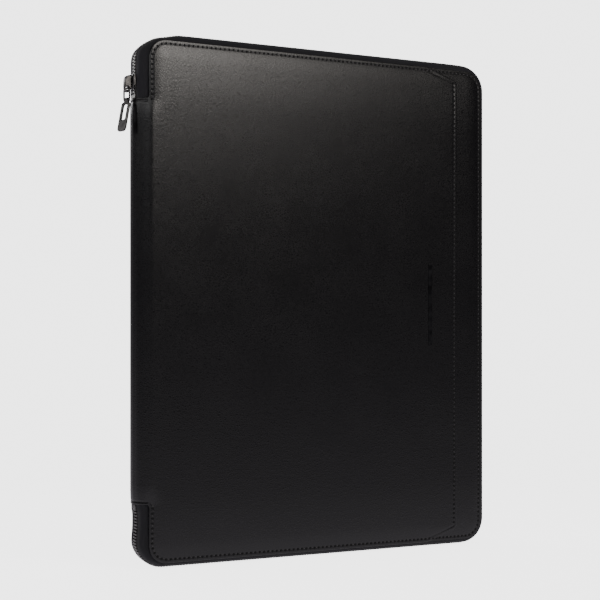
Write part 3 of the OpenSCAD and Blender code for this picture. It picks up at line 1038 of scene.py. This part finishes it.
joints = {j["name"]: j for j in frame["record"]["behaviour"]["joints"]}
body_lo, body_hi = mm_box("slider_body")
crown_hi = mm_box("slider_crown")[1]
BAR = Vector(joints["link_swing"]["pos_m"]) / MM
LOW_BAR = Vector(joints["tab_swing"]["pos_m"]) / MM
ACROSS = Vector(joints["tab_swing"]["axis"]).normalized()
OUT = Vector((-ACROSS.y, ACROSS.x, 0))
UP = Vector((0, 0, 1))
WIRE_R = 0.62
TAB_LEAN = 12


def smooth_path(points, per=6):
    """Catmull-Rom curve through an open run of points."""
    p = np.array(points, float)
    p = np.concatenate([[2 * p[0] - p[1]], p, [2 * p[-1] - p[-2]]])
    out = []
    for i in range(1, len(p) - 2):
        for t in np.arange(per) / per:
            a, b, c, d = p[i - 1], p[i], p[i + 1], p[i + 2]
            out.append(0.5 * (2 * b + (c - a) * t + (2 * a - 5 * b + 4 * c - d) * t**2
                              + (3 * b - a - 3 * c + d) * t**3))
    return np.array([*out, p[-2]])


def slider_shell():
    """Slider body: a waisted outer plate with side rails, an inner plate, and the post between them."""
    mid_z = (body_lo.z + body_hi.z) / 2
    half_w = (body_hi.y - body_lo.y) / 2
    half_l = (body_hi.z - body_lo.z) / 2
    outer_t, inner_t = 1.35, 1.2
    outer = rounded_polygon(
        [[-2.9, -half_l], [2.9, -half_l], [3.5, -1], [half_w, half_l - 2.4], [2.6, half_l], [0, half_l - 0.9],
         [-2.6, half_l], [-half_w, half_l - 2.4], [-3.5, -1]],
        [1.3, 1.3, 3, 1.6, 1.2, 1.2, 1.2, 1.6, 3], 6)
    outer_x = body_lo.x + outer_t / 2
    facing = ((0, 1, 0), (0, 0, 1), (1, 0, 0))
    parts = [plate("slider_outer", outer, [], outer_t, 0.4, pull_metal, placed((outer_x, 0, mid_z), *facing))]
    inner = outer * [1, 0.84] + [0, 0.8]
    inner_x = body_hi.x - inner_t / 2
    parts.append(plate("slider_inner", inner, [], inner_t, 0.35, pull_metal,
                       placed((inner_x, 0, mid_z), *facing)))
    post = rounded_polygon([[0, -3], [0.7, 0.4], [0.35, 2.6], [-0.35, 2.6], [-0.7, 0.4]], 0.25, 3)
    post_x = (outer_x + inner_x) / 2
    parts.append(plate("slider_post", post, [], inner_x - outer_x, 0.1, pull_metal,
                       placed((post_x, 0, mid_z + 2), *facing)))
    rail = rounded_polygon([[0, -3.4], [1.5, -2.6], [1.5, 2.6], [0, 3.4]], 0.4, 3)
    for y in (-1, 1):
        at = (body_lo.x + 0.7, y * (half_w - 0.55), mid_z + 0.4)
        parts.append(plate("slider_rail", rail, [], 0.7, 0.2, pull_metal,
                           placed(at, (1, 0, 0), (0, 0, 1), (0, -1, 0))))
    obj = join("slider_shell", parts)
    fit(obj, "slider", "pull_metal", "slider_body")


def crown_bridge():
    """Rounded crown with the eye that the link hangs in."""
    mid_z = (body_lo.z + body_hi.z) / 2
    outline = smooth_path([(0.35, 3.9), (-2.0, 3.8), (-4.0, 2.6), (-4.8, -0.4), (-4.85, -4.0), (-4.3, -6.3),
                           (-2.9, -7.3), (-1.3, -6.7), (-0.5, -5.2), (0.35, -4.4)], 5)
    eye = [BAR.x - crown_hi.x, BAR.z - mid_z] + arc(0, 0, WIRE_R + 0.4, 0, 348, 30)
    place = placed((crown_hi.x, 0, mid_z), (1, 0, 0), (0, 0, 1), (0, -1, 0))
    obj = plate("crown_bridge", outline, [eye], 3.4, 0.75, pull_metal, place)
    fit(obj, "slider", "pull_metal", "slider_crown")


def wire_link():
    """Closed wire loop between the crown and the tab."""
    length = BAR.z - LOW_BAR.z
    half = 2.9
    loop = rounded_polygon([[-half, -length], [half, -length], [half, 0], [-half, 0]], 1.3, 7)
    loop = resample(loop, 1.0)
    tangent = np.roll(loop, -1, 0) - np.roll(loop, 1, 0)
    tangent /= np.linalg.norm(tangent, axis=1)[:, None]
    rings = []
    for (w, z), (tw, tz) in zip(loop, tangent):
        ring = []
        for a in np.linspace(0, math.tau, 14, endpoint=False):
            side = WIRE_R * math.cos(a)
            at = BAR + ACROSS * (w + tz * side) + UP * (z - tw * side) + OUT * (WIRE_R * math.sin(a))
            ring.append(tuple(at))
        rings.append(ring)
    obj = swept("wire_link", rings, True, pull_metal)
    fit(obj, "pull_link", "pull_metal", "pull_link")


def tab_plate():
    """Slotted tab hanging from an eye rolled round the link's lower bar."""
    lean = Matrix.Rotation(math.radians(TAB_LEAN), 3, ACROSS)
    up, out = lean @ UP, lean @ OUT
    place = placed(LOW_BAR, ACROSS, up, -out)
    outline = rounded_polygon(
        [[-4.2, -21.0], [4.2, -21.0], [4.2, -1.6], [2.1, -1.6], [2.1, -0.95], [-2.1, -0.95], [-2.1, -1.6],
         [-4.2, -1.6]],
        [2.4, 2.4, 1.7, 0.3, 0, 0, 0.3, 1.7], 7)
    slot = rounded_polygon([[-2.2, -13.4], [2.2, -13.4], [2.2, -3.0], [-2.2, -3.0]], 1.3, 7)
    parts = [plate("tab_flat", outline, [slot], 1.5, 0.42, pull_metal, place)]
    ring = [(-2.1, 0.74), (-2.1, 1.15), (-1.8, 1.45), (1.8, 1.45), (2.1, 1.15), (2.1, 0.74)]
    rings = []
    for a in np.linspace(0, math.tau, 28, endpoint=False):
        spoke = up * math.cos(a) + out * math.sin(a)
        rings.append([tuple(LOW_BAR + ACROSS * w + spoke * r) for w, r in ring])
    eye = swept("tab_eye", rings, True, pull_metal)
    parts.append(sharpen(eye))
    obj = join("tab_plate", parts)
    fit(obj, "pull_tab", "pull_metal", "pull_tab")


def blank_bar():
    """Plain raised bar on the outer pocket."""
    at = (trim_lo + trim_hi) / 2
    half_w, half_h = (trim_hi.x - trim_lo.x) / 2, (trim_hi.z - trim_lo.z) / 2
    outline = rounded_polygon([[-half_w, -half_h], [half_w, -half_h], [half_w, half_h], [-half_w, half_h]],
                              half_w * 0.8, 6)
    place = placed((at.x, -HALF_D + 0.12, at.z), (1, 0, 0), (0, 0, 1), (0, -1, 0))
    obj = plate("blank_bar", outline, [], 0.9, 0.25, trim_metal, place)
    fit(obj, "front_cover", "trim", "trim_bar")


# ---------------------------------------------------------------- inside: lining, pockets, card slots, pen loop

LINING_T = BOARD_Y - LINING_Y
POCKET_THICK = 1.0
LINING_INSET = 1.0
NOTEPAD_SHORT = 136


def inner_surface(face, thick, facing, lines=()):
    """Placing function for a flat piece inside a cover; facing is 1 towards +Y and -1 towards -Y."""

    def place(flat, distance, height):
        sunk = sum(groove(distance, line, 0.16, 0.5) for line in lines)
        y = face - facing * thick / 2 + facing * (height - sunk)
        return np.column_stack([flat[:, 0], y, flat[:, 1]])

    return place


def inner_panel(name, nodes, outline, face, thick, facing, slot, roll=0.4, rings=(), lines=()):
    """Flat piece inside a cover, of lining cloth or pocket leather by its slot."""
    material = lining_cloth if slot == "lining" else pocket_leather
    obj = panel(name, outline, inner_surface(face, thick, facing, lines), thick, material, roll=roll, step=14,
                rings=rings)
    if facing > 0:
        flip(obj)
    fit(obj, "front_cover" if facing > 0 else "rear_cover", slot, *nodes)


def box_outline(x0, x1, z0, z1, radius, n=8):
    return rounded_polygon([[x0, z0], [x1, z0], [x1, z1], [x0, z1]], radius, n)


def lining(side):
    """Cloth over a cover's board; side is 1 for the front."""
    cover = "front" if side > 0 else "rear"
    low, high = LINING_INSET, COVER_W - LINING_INSET
    outline = box_outline(X0 + low, X0 + high, Z0 + low, Z1 - low, R_FORE - LINING_INSET, 10)
    inner_panel(cover + "_lining_cloth", (cover + "_lining", cover + "_board"), outline, -side * LINING_Y,
                LINING_T, side, "lining", roll=0.9, rings=(1.6, 2.2, 3.0))


def open_stitches(name, corners, face, facing, body):
    """Stitching along an open line of corners on a flat inner piece."""
    corners = np.array(corners, float)
    dense = np.concatenate([np.linspace(p, q, 60, endpoint=False) for p, q in zip(corners[:-1], corners[1:])]
                           + [corners[-1:]])
    points = np.column_stack([dense[:, 0], np.full(len(dense), face), dense[:, 1]])
    out = np.tile([0, facing, 0], (len(dense), 1))
    stitch_run(name, points, out, body, radius=0.26, hole=0.3)


def edge_binding(name, start, stop, face, facing, body):
    """Rolled leather binding over the open top edge of a pocket."""
    path = np.linspace(start, stop, 30)
    tangent = section_frame(path)
    rings = []
    flats = []
    for k, ((x, z), (tx, tz)) in enumerate(zip(path, tangent)):
        end = min(k, len(path) - 1 - k)
        size = min(1.0, 0.55 + 0.25 * end)
        ring = []
        for a in np.linspace(0, math.tau, 14, endpoint=False):
            across, up = 2.4 * size * math.cos(a), 0.42 * size * math.sin(a)
            across = math.copysign(abs(across) ** 0.8 * 2.4**0.2, across)
            ring.append([x - tz * across, face + facing * (up + 0.18), z + tx * across])
            flats.append([x - tz * across, z + tx * across, a])
        rings.append(ring)
    obj = swept(name, rings, False, pocket_leather, attribute=flats)
    if facing < 0:
        flip(obj)
    fit(obj, body, "pocket_leather")


def section_frame(path):
    """Direction of a path at each of its points."""
    tangent = np.gradient(path, axis=0)
    return tangent / np.linalg.norm(tangent, axis=1)[:, None]


POCKET_SEAM = 2.0
SLOT_SEAM = 1.4
SEAM_SUNK = 0.12


def document_pocket():
    """Large open-topped pocket on the front cover's lining."""
    low, high = mm_box("document_pocket")
    face = high.y
    outline = box_outline(low.x, high.x, low.z, high.z, [6, 6, 3, 3])
    inner_panel("document_pocket_leather", ("document_pocket",), outline, face, POCKET_THICK, 1,
                "pocket_leather", rings=(1.0, 1.6, 2.4), lines=(POCKET_SEAM,))
    d = POCKET_SEAM
    left, right = low.x + d, high.x - d
    seam = [[left, high.z - 4], [left, low.z + d], [right, low.z + d], [right, high.z - 4]]
    open_stitches("document_pocket_stitches", seam, face - SEAM_SUNK, 1, "front_cover")
    top = high.z - 2.6
    edge_binding("document_pocket_binding", [low.x + 3, top], [high.x - 3, top], face, 1, "front_cover")


def card_slots():
    """Three stepped slots, stitched along each edge and round the lowest."""
    for name in ("card_slot_upper", "card_slot_middle", "card_slot_lower"):
        low, high = mm_box(name)
        outline = box_outline(low.x, high.x, low.z, high.z, [4, 4, 2, 2])
        inner_panel(name + "_leather", (name,), outline, high.y, high.y - low.y, 1, "pocket_leather", roll=0.35,
                    rings=(0.8, 1.4, 2.2), lines=(SLOT_SEAM,))
        edge = high.z - SLOT_SEAM
        seam = [[low.x + 3, edge], [high.x - 3, edge]]
        open_stitches(name + "_stitches", seam, high.y - SEAM_SUNK, 1, "front_cover")
    d = SLOT_SEAM
    left, right = low.x + d, high.x - d
    seam = [[left, high.z - 3], [left, low.z + d], [right, low.z + d], [right, high.z - 3]]
    open_stitches("card_stack_stitches", seam, high.y - SEAM_SUNK, 1, "front_cover")


def notepad_pocket():
    """Pocket with a slanted mouth on the rear cover's lining."""
    low, high = mm_box("notepad_pocket")
    face = low.y
    corners = [[low.x, low.z], [high.x, low.z], [high.x, low.z + NOTEPAD_SHORT], [low.x, high.z]]
    inner_panel("notepad_pocket_leather", ("notepad_pocket",), rounded_polygon(corners, [5, 5, 3, 3], 8), face,
                POCKET_THICK, -1, "pocket_leather", rings=(1.0, 1.6, 2.4), lines=(POCKET_SEAM,))
    d = POCKET_SEAM
    seam = [[low.x + d, high.z - 5], [low.x + d, low.z + d], [high.x - d, low.z + d],
            [high.x - d, low.z + NOTEPAD_SHORT - 5]]
    open_stitches("notepad_pocket_stitches", seam, face + SEAM_SUNK, -1, "rear_cover")
    slope = (high.z - low.z - NOTEPAD_SHORT) / (high.x - low.x)
    start = [low.x + 4, high.z - 3.4 - 4 * slope]
    stop = [high.x - 4, low.z + NOTEPAD_SHORT - 3.4 + 4 * slope]
    edge_binding("notepad_pocket_binding", start, stop, face, -1, "rear_cover")


def pen_loop():
    """Elastic loop: a ribbed tube on a sewn foot."""
    low, high = mm_box("pen_loop")
    radius, wall = (high.x - low.x) / 2, 0.8
    centre = Vector(((low.x + high.x) / 2, high.y - radius, 0))
    half, middle = (high.z - low.z) / 2, (high.z + low.z) / 2
    rows = np.linspace(-half + 0.3, half - 0.3, 45)
    rings, flats = [], []
    for a in np.linspace(0, math.tau, 40, endpoint=False):
        spoke = Vector((math.cos(a), math.sin(a), 0))
        outer = [(radius - 0.12 + 0.06 * math.sin(k * 2.4), z) for k, z in enumerate(rows)]
        profile = [(radius - 0.3, -half), *outer, (radius - 0.3, half), (radius - wall + 0.2, half),
                   (radius - wall, half - 0.3), (radius - wall, -half + 0.3), (radius - wall + 0.2, -half)]
        rings.append([tuple(centre + spoke * r + UP * (middle + z)) for r, z in profile])
        flats += [[a * radius, z, r] for r, z in profile]
    tube = swept("pen_loop_tube", rings, True, lining_cloth, attribute=flats)
    foot = panel("pen_loop_foot", box_outline(low.x, high.x, low.z, high.z, 0.8),
                 inner_surface(low.y + wall, wall, 1), wall, lining_cloth, roll=0.3, step=4)
    flip(foot)
    obj = join("pen_loop_elastic", [tube, foot])
    fit(obj, "front_cover", "lining", "pen_loop")


GUTTER_T = 0.7
GUTTER_LAP = 5.0
GUTTER_UNDER = 2.4
GUTTER_HALF = 7.0


def gutter(side):
    """Half of the cloth gutter inside the spine, lapped onto a cover's lining; side is 1 for the front."""
    r = SPINE_R - GUTTER_UNDER
    turn = math.asin(GUTTER_HALF / r)
    bend = [(SPINE_CX - r * math.cos(a), -r * math.sin(a)) for a in np.linspace(0, turn, 12)]
    flat_y = -LINING_Y + GUTTER_T / 2
    bend += [(X0 + 0.6, -7.35), (X0 + 2.4, flat_y + 0.02), (X0 + GUTTER_LAP, flat_y)]
    path = smooth_path(bend, 3)
    steps = np.linalg.norm(np.diff(path, axis=0), axis=1)
    run = np.concatenate([[0], np.cumsum(steps)])
    tangent = section_frame(path)

    def place(flat, distance, height):
        t = flat[:, 0] - run[0]
        x, y = np.interp(t, run, path[:, 0]), np.interp(t, run, path[:, 1])
        tx, ty = np.interp(t, run, tangent[:, 0]), np.interp(t, run, tangent[:, 1])
        return np.column_stack([x - ty * height, side * (y + tx * height), flat[:, 1]])

    low, high = SPINE_Z0 + 3, SPINE_Z1 - 3
    width = run[-1]
    outline = [[0, low], [width, low], [width, high], [0, high]]
    obj = panel("gutter_front" if side > 0 else "gutter_rear", np.array(outline), place, GUTTER_T, lining_cloth,
                roll=0.3, step=6, seam=0.0, fold=width - 1, rings=(1.0, 2.0))
    if side > 0:
        flip(obj)
    cover = "front_cover" if side > 0 else "rear_cover"
    blend(obj, cover, {"start": (X0 - 4.0, -5.5, ZM), "end": (X0 + 2.0, -8.0, ZM)})
    fit(obj, None, "lining", *(["spine_lining"] if side > 0 else []))


# ---------------------------------------------------------------- shown parts from the frame

for node in ("front_foam", "rear_foam", "spine_board"):
    frame["nodes"][node].data.materials.clear()
    frame["nodes"][node].data.materials.append(board_card if node == "spine_board" else foam_core)

# ---------------------------------------------------------------- build

front_skin()
front_base()
rear_skin()
edge_stitches("front_edge_stitches", "front_cover")
edge_stitches("rear_edge_stitches", "rear_cover", rear=True)
pocket_stitches()
for tape_side in (-1, 1):
    zip_tape(tape_side)
    teeth_row(tape_side)
zip_stop("zip_stop_top")
zip_stop("zip_stop_bottom")
slider_shell()
crown_bridge()
wire_link()
tab_plate()
blank_bar()
for side in (1, -1):
    lining(side)
    gutter(side)
document_pocket()
card_slots()
pen_loop()
notepad_pocket()

# ---------------------------------------------------------------- stage


def radial_fade(s, full, gone):
    """1 at the stage's middle, falling to 0 away from it."""
    length = s.node("ShaderNodeVectorMath", {"operation": "LENGTH"}, **{"0": s.coords("Object")})
    return s.remap(length.outputs["Value"], full, gone, 1.0, 0.0)


def floor_material(glow):
    """White sweep that melts into the bright surroundings and takes only a faint shadow."""
    s = Shader("studio_floor")
    grain = s.noise(s.coords("Object"), 90.0)
    colour = s.mix_colour(grain, (0.83, 0.83, 0.83), (0.85, 0.85, 0.85))
    s.finish(Base_Color=colour, Roughness=0.9, Specular_IOR_Level=0.0, Emission_Color=(1, 1, 1, 1),
             Emission_Strength=glow)
    out = s.tree.nodes["Material Output"]
    clear = s.node("ShaderNodeBsdfTransparent")
    mix = s.node("ShaderNodeMixShader")
    s.put(mix, "0", radial_fade(s, 0.25, 0.6))
    s.tree.links.new(clear.outputs[0], mix.inputs[1])
    s.tree.links.new(s.bsdf.outputs[0], mix.inputs[2])
    s.tree.links.new(mix.outputs[0], out.inputs["Surface"])
    return s.material


def studio_floor(glow):
    """Floor just under the case; reflected and bounced rays pass through it to the world's own light."""
    half, n = 700, 9
    grid = np.linspace(-half, half, n)
    points = [[x, y, -0.4] for y in grid for x in grid]
    corners = [r * n + c for r in range(n - 1) for c in range(n - 1)]
    faces = [[i, i + 1, i + n + 1, i + n] for i in corners]
    floor = mesh_object("studio_floor", points, faces, floor_material(glow))
    floor.visible_glossy = False
    floor.visible_diffuse = False


def world_light(seen, diffuse, front, low, back):
    """Pale surroundings: bright where seen, softer as light, and dark in reflections away from the backdrop."""
    world = bpy.data.worlds.new("studio")
    bpy.context.scene.world = world
    world.use_nodes = True
    n = Nodes(world.node_tree)
    towards = n.node("ShaderNodeSeparateXYZ", Vector=n.coords("Generated")).outputs
    behind = n.remap(towards["Y"], 0.1, 0.7, 0.0, back, "SMOOTHSTEP")
    below = n.remap(towards["Z"], 0.0, -0.2, 0.0, low, "SMOOTHSTEP")
    glossy = n.maths("ADD", n.maths("ADD", behind, below), front)
    rays = n.node("ShaderNodeLightPath").outputs
    level = n.choose(rays["Is Diffuse Ray"], diffuse, glossy)
    level = n.choose(rays["Is Camera Ray"], seen, level)
    tint = n.mix_colour(rays["Is Camera Ray"], (1.0, 0.95, 1.02), (1.0, 1.0, 1.0))
    background = n.tree.nodes["Background"]
    n.put(background, "Strength", level)
    n.put(background, "Color", tint)


def softbox(name, place, target, width, height, watts):
    data = bpy.data.lights.new(name, "AREA")
    data.shape = "RECTANGLE"
    data.size = width
    data.size_y = height
    data.energy = watts
    light = bpy.data.objects.new(name, data)
    bpy.context.scene.collection.objects.link(light)
    light.location = place
    light.visible_camera = False
    light.rotation_euler = (Vector(target) - Vector(place)).to_track_quat("-Z", "Y").to_euler()
    return light.data


def key_panel(name, left, right, brightness):
    """Upright softbox panel in front of the case, above the camera."""
    low, high, away = 0.635, 1.42, -1.5
    middle = ((left + right) / 2, away, (low + high) / 2)
    aim = (middle[0] - 0.15, 0, middle[2] - 0.2)
    width, height = right - left, high - low
    lamp = softbox(name, middle, aim, width, height, brightness * math.pi * width * height)
    lamp.color = (1.0, 0.95, 0.9)


def camera():
    """Camera at the photograph's viewing angle."""
    data = bpy.data.cameras.new("camera")
    data.lens = 87.72
    data.sensor_width = 36
    data.shift_y = 0.0573
    obj = bpy.data.objects.new("camera", data)
    bpy.context.scene.collection.objects.link(obj)
    obj.location = (-0.48466, -0.87516, 0.1504)
    obj.rotation_euler = (math.radians(90), 0, math.radians(-28.57))
    bpy.context.scene.camera = obj


camera()
world_light(seen=3.55, diffuse=0.35, front=0.07, low=0.75, back=0.12)
studio_floor(glow=3.25)
# the key is widest at its bright middle, with two dimmer panels that fade it out to the right
key_panel("key_box", left=0.3, right=0.64, brightness=8.6)
key_panel("key_side", left=0.66, right=0.86, brightness=3.4)
key_panel("key_edge", left=0.88, right=1.08, brightness=1.1)
UPPER_SPINE = (-0.13, 0, 0.3)
softbox("left_fill", (-1.46, -0.28, 0.8), UPPER_SPINE, width=1.8, height=0.4, watts=4.0)
softbox("corner_fill", (-0.7, -1.38, 0.8), UPPER_SPINE, width=1.15, height=0.4, watts=2.6)
softbox("back_left", (-0.91, 1.04, 0.68), UPPER_SPINE, width=0.7, height=0.3, watts=0.6)
softbox("zip_glint", (-0.574, 1.116, 0.66), (-0.13, 0, 0.32), width=0.2, height=0.3, watts=1.4)
